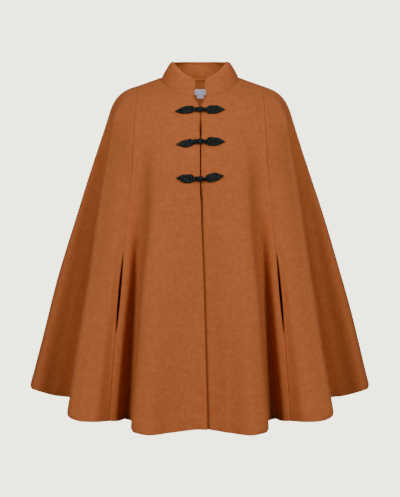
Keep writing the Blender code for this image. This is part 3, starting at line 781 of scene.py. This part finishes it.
def side_panel(name, side):
    """One gore, with the slit's other edge and the top stitching beside the front seam."""
    u_line = FRONT_U + (BACK_U - FRONT_U) * packed_ends(SIDE_COLUMNS)
    start = seam_v(u_line)
    u = np.broadcast_to(u_line, (SIDE_ROWS, SIDE_COLUMNS))
    v = start + packed_ends(SIDE_ROWS)[:, None] * (3 - start)
    pulled = np.clip(1 - (u - FRONT_U) / SLIT_PULL, 0, 1) ** 2
    shift = slit_half_width(v) * pulled * (u_line < RIDGE_U)
    places = dress(u, v, side, ("front", "back"), nudge=across(u, v) * shift[..., None],
                   stitched=True)
    piece = grid_piece(name, places)
    face_outwards(piece, (side * 0.3, 0, -0.35), (side, 0, 0))
    return piece


sides = [side_panel("wool_right_side", -1), side_panel("wool_left_side", 1)]
print("sides", len(sides[0].data.polygons), "faces each")

# %% [markdown]
# The back is cut on the fold of the cloth, so it has no middle seam and is one grid from
# seam to seam. Its two halves hang alike but crease differently, so each half is dressed
# with its own side's creases, and near the middle the two are averaged.

# %% Back
BACK_COLUMNS, SHARED_MIDDLE = 151, 0.06
share = np.linspace(-1, 1, BACK_COLUMNS)
end = outer_u(FRONT_ROWS, BACK_SEAM)[:, None]
overlap = SEAM_OVERLAP * (FRONT_ROWS[:, None] > RIDGE_V)
back_u = END_U - (END_U - end + overlap) * np.abs(share)
back_v = np.broadcast_to(FRONT_ROWS[:, None], back_u.shape)
BACK_SEAMS = ("back", "ridge", "neck")
left_half, right_half = (dress(back_u, back_v, side, BACK_SEAMS) for side in (1, -1))
middle = (left_half + right_half * [-1, 1, 1]) / 2
in_middle = np.abs(share)[None, :, None] < SHARED_MIDDLE
left_half = np.where(in_middle, middle, left_half)
right_half = np.where(in_middle, middle * [-1, 1, 1], right_half)
back_panel = grid_piece("wool_back", np.where(share[None, :, None] > 0, right_half, left_half))
face_outwards(back_panel, (0, 0.2, -0.4), (0, 1, 0))
print("back", len(back_panel.data.polygons), "faces")

# %% [markdown]
# ## Stand collar
# The collar is a strip on the neck ring that leans in a little towards the neck. Its front
# corners are rounded, and its two layers make it thicker and softer at the top edge than a
# single layer of cloth. A spun ring would be quicker, but the strip is lower at the front
# than at the back and open there, so each column stands on the ring by itself.

# %% Collar
COLLAR_END, COLLAR_SPLAY = 7.2, 2.2
COLLAR_CORNER, COLLAR_SINKS = 14 * MM, 0.7 * MM
BELLY, WAVE, SEAM_DIP = 1.1 * MM, 0.5 * MM, 0.8 * MM
ROLL_IN, ROLL_HEIGHT = 4.5 * MM, 9 * MM
COLLAR_TOP = dict(half_width=66, front=60, back=50,
                  side_z=41.5, front_z=-5, back_z=43.5, power=1.9)


def collar_places(columns=190, rows=30):
    """A strip between the neck ring and the top edge, from one front corner to the other."""
    share = np.linspace(0, 1, columns)
    packed = share - 0.35 * np.sin(2 * np.pi * share) / (2 * np.pi)
    degrees = COLLAR_END + (360 - 2 * COLLAR_END) * packed
    from_front = 180 - np.abs(180 - degrees)
    splay = COLLAR_SPLAY * np.clip(1 - (from_front - COLLAR_END) / 15, 0, 1)
    base = ring(degrees + np.copysign(splay, 180 - degrees), **NECK)
    top = ring(degrees, **COLLAR_TOP)
    lean = top - base
    height = np.linalg.norm(lean, axis=1)
    near = np.where(top[:, 1] < -30 * MM, np.abs(top[:, 0]) - abs(top[0, 0]), 1.0)
    inset = np.clip(1 - near / COLLAR_CORNER, 0, 1)
    tall = 1 - COLLAR_CORNER * (1 - np.sqrt(1 - inset**2)) / height
    up = np.linspace(0, 1, rows)[:, None]
    places = base + lean * (up * tall - COLLAR_SINKS / height * (1 - up))[..., None]
    around = np.gradient(places, axis=1)
    out = np.cross(around, np.broadcast_to(lean, places.shape))
    out /= np.linalg.norm(out, axis=2, keepdims=True)
    belly = (BELLY + WAVE * np.sin(np.radians(degrees * 5))) * np.sin(np.pi * up)
    dip = SEAM_DIP * bell(up * height, 1.8 * MM)
    off_front = 0.25 + 0.75 * eased((from_front - 25) / 45)
    off_back = 0.25 + 0.75 * eased((180 - from_front - 30) / 45)
    near_top = np.clip(1 - (1 - up) * height / ROLL_HEIGHT, 0, 1) ** 2
    roll = ROLL_IN * off_front * off_back * near_top
    return places + out * (belly - dip - roll)[..., None]


collar = grid_piece("wool_collar", collar_places())
face_outwards(collar, (0.08, 0, 0.02), (1, 0, 0))
print("collar", len(collar.data.polygons), "faces")

# %% [markdown]
# ## Brushed wool melton
# Melton is woven, shrunk and brushed until its threads vanish under a felt of short fibres.
# The eye sees a dull, deep colour with soft mottling about a centimetre wide, faint strokes
# both ways where the warp and weft lie under the felt, and a pale bloom where the nap is
# seen edge on. Sheen gives the bloom, and noise in real sizes gives the rest. A picture of
# cloth would show its repeats on so large a cape and would have to be unwrapped onto it.

# %% Wool material
WOOL_DEEP, WOOL_LIGHT, WOOL_BLOOM = "#b05b2c", "#c6713f", "#e8a070"
MOTTLE_MM = 11.0
# The real tufts and yarns are about 1 mm wide. Drawn so fine they would shimmer at this
# distance, so they are coarser here.
TUFT_MM, YARN_MM = 2.4, 3.0
WARP_STRETCH, WEFT_STRETCH = (1.0, 1.0, 0.12), (0.14, 0.14, 1.0)


def wool_melton(name, shift):
    """Wool, woven, milled until it felts, and brushed. The shift varies it piece by piece."""
    made, tree, shader = new_material(name)
    place = add_node(tree, "ShaderNodeTexCoord")
    moved = add_node(tree, "ShaderNodeMapping", {"Location": (shift, shift, 0)},
                     {"Vector": place.outputs["Object"]})
    tufts = add_node(tree, "ShaderNodeTexNoise",
                     {"Scale": 1000 / TUFT_MM, "Detail": 3.0, "Roughness": 0.6},
                     {"Vector": moved.outputs[0]})
    mottle = add_node(tree, "ShaderNodeTexNoise",
                      {"Scale": 1000 / MOTTLE_MM, "Detail": 4.0, "Roughness": 0.65},
                      {"Vector": moved.outputs[0]})
    yarns = []
    for stretch in (WARP_STRETCH, WEFT_STRETCH):
        drawn_out = add_node(tree, "ShaderNodeMapping", {"Scale": stretch},
                             {"Vector": moved.outputs[0]})
        yarns.append(add_node(tree, "ShaderNodeTexNoise",
                              {"Scale": 1000 / YARN_MM, "Detail": 2.0},
                              {"Vector": drawn_out.outputs[0]}).outputs["Fac"])
    weave = add_node(tree, "ShaderNodeMix", {"Factor": 0.5}, {"A": yarns[0], "B": yarns[1]})
    both = add_node(tree, "ShaderNodeMix", {"Factor": 0.55},
                    {"A": mottle.outputs["Fac"], "B": weave.outputs["Result"]})
    tone = add_node(tree, "ShaderNodeMix", {"Factor": 0.3},
                    {"A": both.outputs["Result"], "B": tufts.outputs["Fac"]})
    ramp = add_node(tree, "ShaderNodeValToRGB", {}, {"Fac": tone.outputs["Result"]})
    set_stops(ramp, (0.35, WOOL_DEEP), (0.65, WOOL_LIGHT))
    tree.links.new(ramp.outputs["Color"], shader.inputs["Base Color"])
    felt = add_node(tree, "ShaderNodeMath", {"operation": "MULTIPLY_ADD", 1: 0.6},
                    {0: tufts.outputs["Fac"], 2: weave.outputs["Result"]})
    bump = add_node(tree, "ShaderNodeBump", {"Strength": 0.55, "Distance": 1.2 * MM},
                    {"Height": felt.outputs[0]})
    tree.links.new(bump.outputs[0], shader.inputs["Normal"])
    set_sockets(shader, {"Roughness": 0.92, "Specular IOR Level": 0.18, "IOR": 1.45,
                         "Sheen Weight": 0.16, "Sheen Roughness": 0.45,
                         "Sheen Tint": linear(WOOL_BLOOM)})
    return made


CLOTH = {
    "right_front": right_front, "left_front": left_front, "right_side": sides[0],
    "left_side": sides[1], "back": back_panel, "collar": collar,
}
# The collar is two layers turned at the top, so its wall and its rounding are larger
COLLAR_WALL, COLLAR_EDGE, CLOTH_EDGE = 3.0 * MM, 1.2 * MM, 0.7 * MM
PATTERN_STEP = 0.37
for number, (node, piece) in enumerate(CLOTH.items()):
    finish = wool_melton(f"brushed_wool_melton_{node}", PATTERN_STEP * number)
    piece.data.materials.append(finish)
    if node == "collar":
        give_wall(piece, COLLAR_WALL, COLLAR_EDGE)
    else:
        give_wall(piece, WALL, CLOTH_EDGE)
    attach(piece, "root")
    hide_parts(node)
print("wool pieces", len(CLOTH))

# %% [markdown]
# ## Frog fasteners
# A frog is one long cord, twisted from strands, coiled flat into a leaf and stitched down.
# Each coil here is a spiral path on the cloth, and two or three thin strands wind round it,
# so the twist is real and catches the light. Curves with a round bevel make the strands.

# %% Twisted cord helper
FRONTS = BVHTree.FromPolygons(
    [v.co.copy() for piece in (right_front, left_front) for v in piece.data.vertices],
    [[first + i for i in p.vertices]
     for piece, first in ((right_front, 0), (left_front, len(right_front.data.vertices)))
     for p in piece.data.polygons])


OPENING_HALF = 3.5 * MM
STRAND_OFFSET, POINTS_A_TURN = 0.6, 7


def cloth_y(x, z):
    """Where the fronts' outer face lies, beside the opening for points over it."""
    probe = math.copysign(max(abs(x), OPENING_HALF), x)
    return FRONTS.ray_cast(Vector((probe, -1, z)), Vector((0, 1, 0)))[0].y


def even_path(points, spacing, closed=False):
    """The same path with evenly spaced points."""
    points = np.array(points)
    if closed:
        points = np.vstack([points, points[:1]])
    run = np.concatenate([[0], np.cumsum(np.linalg.norm(np.diff(points, axis=0), axis=1))])
    at = np.linspace(0, run[-1], max(8, int(run[-1] / spacing)))
    return np.stack([np.interp(at, run, points[:, i]) for i in range(3)], axis=1), run[-1]


def twisted(path, radius, pitch, strands=3, closed=False):
    """Strands that wind round a path, one list of points each."""
    path, length = even_path(path, pitch / POINTS_A_TURN, closed)
    along = np.gradient(path, axis=0)
    along /= np.linalg.norm(along, axis=1, keepdims=True)
    side = np.cross(along, [0.0, 1.0, 0.05])
    side /= np.linalg.norm(side, axis=1, keepdims=True)
    other = np.cross(along, side)
    turns = round(length / pitch) if closed else length / pitch
    angle = np.linspace(0, 2 * np.pi * turns, len(path))[:, None]
    lines = []
    for k in range(strands):
        a = angle + 2 * np.pi * k / strands
        line = path + (side * np.cos(a) + other * np.sin(a)) * radius * STRAND_OFFSET
        lines.append(line[:-1] if closed else line)
    return lines


def strands_piece(name, lines, radius, closed=False):
    """A mesh of round strands along lists of points."""
    curve = bpy.data.curves.new(name, "CURVE")
    curve.dimensions = "3D"
    curve.bevel_depth = radius
    curve.bevel_resolution = 1
    curve.use_fill_caps = True
    for line in lines:
        spline_made = curve.splines.new("POLY")
        spline_made.points.add(len(line) - 1)
        spline_made.points.foreach_set("co", np.hstack([line, np.ones((len(line), 1))]).ravel())
        spline_made.use_cyclic_u = closed
    holder = bpy.data.objects.new(name, curve)
    bpy.context.scene.collection.objects.link(holder)
    seen = holder.evaluated_get(bpy.context.evaluated_depsgraph_get())
    mesh = bpy.data.meshes.new_from_object(seen)
    bpy.data.objects.remove(holder)
    bpy.data.curves.remove(curve)
    bm = bmesh.new()
    bm.from_mesh(mesh)
    bpy.data.meshes.remove(mesh)
    bmesh.ops.recalc_face_normals(bm, faces=bm.faces)
    return to_object(name, bm)


print("cloth under the first frog at y", round(cloth_y(0.03, -0.08), 4))

# %% [markdown]
# The cord is rayon satin in a near-black bottle green. Its filaments are smooth and lie side
# by side, so each strand has one tight soft highlight and is almost black beside it. A low
# roughness makes that highlight by itself, so the shader needs no separate coat.

# %% Cord material
CORD_DARK, CORD_GREEN = "#010201", "#142a1f"
# Dye takes in patches about 4 mm long. Real filaments are far under 0.1 mm, and 0.5 mm is
# the finest that still shows.
DYE_MM, FILAMENT_MM = 4.0, 0.5


def satin_cord():
    """Rayon, spun smooth, dyed in the yarn and twisted, with no finish on top."""
    made, tree, shader = new_material("rayon_satin_cord")
    place = add_node(tree, "ShaderNodeTexCoord")
    dye = add_node(tree, "ShaderNodeTexNoise", {"Scale": 1000 / DYE_MM, "Detail": 2.0},
                   {"Vector": place.outputs["Object"]})
    ramp = add_node(tree, "ShaderNodeValToRGB", {}, {"Fac": dye.outputs["Fac"]})
    set_stops(ramp, (0.42, CORD_DARK), (0.62, CORD_GREEN))
    tree.links.new(ramp.outputs["Color"], shader.inputs["Base Color"])
    filament = add_node(tree, "ShaderNodeTexNoise", {"Scale": 1000 / FILAMENT_MM, "Detail": 1.0},
                        {"Vector": place.outputs["Object"]})
    bump = add_node(tree, "ShaderNodeBump", {"Strength": 0.3, "Distance": 0.2 * MM},
                    {"Height": filament.outputs["Fac"]})
    tree.links.new(bump.outputs[0], shader.inputs["Normal"])
    set_sockets(shader, {"Roughness": 0.24, "Specular IOR Level": 0.3, "IOR": 1.5,
                         "Sheen Weight": 0.02})
    return made


CORD = satin_cord()
print("cord", CORD.name)

# %% [markdown]
# Each leaf is one cord, coiled from the outline inwards and rising a little towards its
# middle. A plain spiral is squeezed to a point at the tip and stretched to the leaf's length,
# and a small wave in its width keeps the turns from being perfectly even. The six leaves
# were sewn by hand, so each has its own row of sizes.

# %% Leaves
# For each leaf, in mm: its inner end and its tip, each as x and z, and its half width
LEAVES = (
    ("frog_1_right_leaf", -10.2, -73.4, -57.0, -79.6, 10.8),
    ("frog_1_left_leaf", 11.5, -77.0, 57.0, -76.0, 12.0),
    ("frog_2_right_leaf", -10.7, -148.5, -53.5, -154.5, 10.5),
    ("frog_2_left_leaf", 11.0, -148.0, 57.0, -149.0, 12.0),
    ("frog_3_right_leaf", -10.7, -231.0, -54.0, -227.5, 12.0),
    ("frog_3_left_leaf", 10.8, -231.0, 54.0, -224.0, 12.0),
)
LEAF_CORD, TWIST_PITCH = 2.05 * MM, 13.0 * MM
LEAF_SEAT, LEAF_DOME = 0.7 * MM, 1.5 * MM
TURN_SPACING, TURN_UNEVEN = 0.78, 0.1
# The largest value of the sine that draws the tip to a point
WIDEST = 0.77
# A strand's share of the cord's radius: two have to be thicker than three to fill it
OF_TWO, OF_THREE = 0.64, 0.56


def leaf_path(inner_x, inner_z, tip_x, tip_z, half_width):
    """A coil from the leaf's outline to its middle, each turn beside the last."""
    inner, tip = np.array([inner_x, inner_z]) * MM, np.array([tip_x, tip_z]) * MM
    half_length = np.linalg.norm(tip - inner) / 2
    ahead = (tip - inner) / (2 * half_length)
    side = np.array([-ahead[1], ahead[0]])
    room = half_width * MM - LEAF_CORD
    turns = room / (2 * LEAF_CORD * TURN_SPACING)
    path = []
    for done in np.linspace(0, 1, 300):
        t = 2 * math.pi * turns * done
        long = half_length - LEAF_CORD * 1.3 - room * done * 0.9
        wave = 1 + TURN_UNEVEN * math.sin(5 * t + half_length * 900)
        wide = room * (1 - done) / WIDEST * wave
        x, z = ((inner + tip) / 2 + ahead * long * math.cos(t)
                + side * wide * math.sin(t) * abs(math.sin(t / 2)))
        lift = LEAF_CORD + LEAF_SEAT + LEAF_DOME * math.sin(done * math.pi / 2)
        path.append((x, cloth_y(x, z) - lift, z))
    return path


for name, *sizes in LEAVES:
    lines = twisted(leaf_path(*sizes), LEAF_CORD, TWIST_PITCH, strands=2)
    piece = strands_piece(f"cord_{name}", lines, LEAF_CORD * OF_TWO)
    piece.data.materials.append(CORD)
    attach(piece, "root")
    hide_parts(name)
print("leaves", len(LEAVES), "with", len(piece.data.polygons), "faces each")

# %% [markdown]
# The closing is a ball knot on the wearer's left that sits in a loop from the right leaf.
# The loop is the leaf's own cord let out and back. The knot is one cord woven round a ball:
# its path swings from pole to pole while it goes round, and passes over and under itself.

# %% Paths of the knots and loops
KNOT_X, KNOT_HEIGHTS = 1.0 * MM, (-75.5 * MM, -147.5 * MM, -230.5 * MM)
KNOT_CORD, KNOT_RADIUS = 1.7 * MM, 7.0 * MM
KNOT_TURNS, KNOT_SWINGS, KNOT_REACH_DEG, KNOT_WIDER = 3, 5, 64, 1.12
OVER_UNDER = 0.45 * MM
LOOP_CORD, LOOP_LEFT, LOOP_RIGHT = 1.5 * MM, -14.5 * MM, 5.0 * MM
LOOP_HALVES, LOOP_LIFT = (3.5 * MM, 1.1 * MM), 2.6 * MM
STALK_CORD, STALK_FROM, STALK_TO = 1.8 * MM, 4.0 * MM, 19.0 * MM
STALK_APART, STALK_LIFT = 1.9 * MM, 2.7 * MM


def loop_path(z0, half):
    """Out along the top, round under the knot and back, lifted off the cloth."""
    path = []
    for t in np.linspace(0, 2 * math.pi, 60, endpoint=False):
        end = LOOP_RIGHT if math.cos(t) > 0 else LOOP_LEFT
        x = end + (half * math.copysign(1, end)) * (abs(math.cos(t)) - 1)
        z = z0 + half * math.sin(t)
        path.append((x, cloth_y(x, z) - LOOP_LIFT, z))
    return path


def knot_path(x, y, z):
    """Three turns round a ball that swing five times from pole to pole."""
    t = np.linspace(0, 2 * math.pi * KNOT_TURNS, 260, endpoint=False)
    swing = np.radians(KNOT_REACH_DEG) * np.sin(KNOT_SWINGS / KNOT_TURNS * t)
    weave = OVER_UNDER * np.sin(2 * KNOT_SWINGS / KNOT_TURNS * t + 0.8)
    far = KNOT_RADIUS - KNOT_CORD * 1.15 + weave
    return np.stack([x + far * KNOT_WIDER * np.sin(swing), y + far * np.cos(swing) * np.cos(t),
                     z + far * np.cos(swing) * np.sin(t)], axis=1)


def stalk_path(y, z0, side):
    """One of the two cords from the knot down to the left leaf."""
    x = np.linspace(STALK_FROM, STALK_TO, 16)
    z = z0 + side * STALK_APART * np.minimum(1, (x - 2 * MM) / (5 * MM))
    fall = np.clip((x - 6 * MM) / (9 * MM), 0, 1)
    seat = np.array([cloth_y(a, b) - STALK_LIFT for a, b in zip(x, z)])
    return np.stack([x, y + (seat - y) * fall, z], axis=1)


print("knots at heights", KNOT_HEIGHTS)

# %% [markdown]
# The paths get their strands here. A knot woven from one cord is hollow, and the cloth would
# show through it, so a small ball of cord fills its middle. The stalk of two short cords
# joins each knot to its leaf. It replaces nothing, as the knot's solid has that neck already.

# %% Knots and loops
KNOT_CORE = KNOT_RADIUS - 1.9 * MM
LOOP_PITCH, KNOT_PITCH, STALK_PITCH = 5 * MM, 4.4 * MM, 6 * MM
STALK_STRAND = 1.05 * MM
for number, z0 in enumerate(KNOT_HEIGHTS, 1):
    low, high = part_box(f"frog_{number}_knot")
    centre = (KNOT_X, low[1] + KNOT_RADIUS, z0)
    lines = [line for half in LOOP_HALVES
             for line in twisted(loop_path(z0, half), LOOP_CORD, LOOP_PITCH, closed=True)]
    loop = strands_piece(f"cord_frog_{number}_loop", lines, LOOP_CORD * OF_THREE, closed=True)
    lines = twisted(knot_path(*centre), KNOT_CORD, KNOT_PITCH, closed=True)
    knot = strands_piece(f"cord_frog_{number}_knot", lines, KNOT_CORD * OF_THREE, closed=True)
    core = bmesh.new()
    core.from_mesh(knot.data)
    bmesh.ops.create_icosphere(core, subdivisions=2, radius=KNOT_CORE,
                               matrix=Matrix.Translation(centre))
    core.to_mesh(knot.data)
    core.free()
    lines = [line for side in (1, -1)
             for line in twisted(stalk_path(centre[1], z0, side), STALK_CORD, STALK_PITCH)]
    stalk = strands_piece(f"cord_frog_{number}_stalk", lines, STALK_STRAND)
    for piece, node in ((loop, "loop"), (knot, "knot"), (stalk, None)):
        piece.data.materials.append(CORD)
        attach(piece, "root")
        if node:
            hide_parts(f"frog_{number}_{node}")
print("knots", len(KNOT_HEIGHTS))

# %% [markdown]
# ## Woven label and size tab
# The label is a narrow satin ribbon with folded ends, sewn inside the back neck and left
# bare here, with a smaller tab of the same ribbon below it. A grid is laid on the cloth's
# inside by looking for it from the middle, and a slight bow shows that only the ends are sewn.

# %% Tags
# For each tag, in mm: its left and right ends, its top and its bottom
TAGS = (("neck_label", -13.0, 14.0, -20.0, -33.0), ("size_tab", -7.5, 8.5, -33.6, -41.5))
TAG_GAP, TAG_BOW, TAG_WALL, TAG_EDGE = 0.7 * MM, 0.35 * MM, 0.6 * MM, 0.2 * MM
RIBBON_DEEP, RIBBON_PALE = "#ddd8f6", "#f4f0ff"
# The real ribs are about 0.3 mm, too fine to show, so they are three times as coarse here
RIB_MM = 0.9
BACK_TREE = BVHTree.FromPolygons([v.co.copy() for v in back_panel.data.vertices],
                                 [list(p.vertices) for p in back_panel.data.polygons])


def woven_ribbon():
    """Polyester satin, woven: thin ribs, a pale lavender grey and a soft shine."""
    made, tree, shader = new_material("woven_polyester_ribbon")
    place = add_node(tree, "ShaderNodeTexCoord")
    ribs = add_node(tree, "ShaderNodeTexWave",
                    {"Scale": 1000 / RIB_MM / 2, "bands_direction": "Z", "Distortion": 0.4},
                    {"Vector": place.outputs["Object"]}).outputs["Fac"]
    ramp = add_node(tree, "ShaderNodeValToRGB", {}, {"Fac": ribs})
    set_stops(ramp, (0.0, RIBBON_DEEP), (1.0, RIBBON_PALE))
    tree.links.new(ramp.outputs["Color"], shader.inputs["Base Color"])
    bump = add_node(tree, "ShaderNodeBump", {"Strength": 0.4, "Distance": 0.2 * MM},
                    {"Height": ribs})
    tree.links.new(bump.outputs[0], shader.inputs["Normal"])
    set_sockets(shader, {"Roughness": 0.5})
    return made


def back_y(x, z):
    """Where the back panel's outer face lies behind a point of the neck."""
    return BACK_TREE.ray_cast(Vector((x, 0, z)), Vector((0, 1, 0)))[0].y


RIBBON = woven_ribbon()
for name, left, right, top, bottom in TAGS:
    x, z = np.meshgrid(np.linspace(left, right, 25) * MM, np.linspace(top, bottom, 13) * MM)
    lift = WALL + TAG_GAP + TAG_BOW * np.sin(np.pi * (x - x.min()) / np.ptp(x))
    y = np.array([back_y(a, b) for a, b in zip(x.flat, z.flat)]).reshape(x.shape)
    piece = grid_piece(f"ribbon_{name}", np.stack([x, y - lift, z], axis=2))
    face_outwards(piece, (0, 0.08, -0.03), (0, -1, 0))
    give_wall(piece, TAG_WALL, TAG_EDGE)
    piece.data.materials.append(RIBBON)
    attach(piece, "root")
    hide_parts(name)
print("tags", len(TAGS))
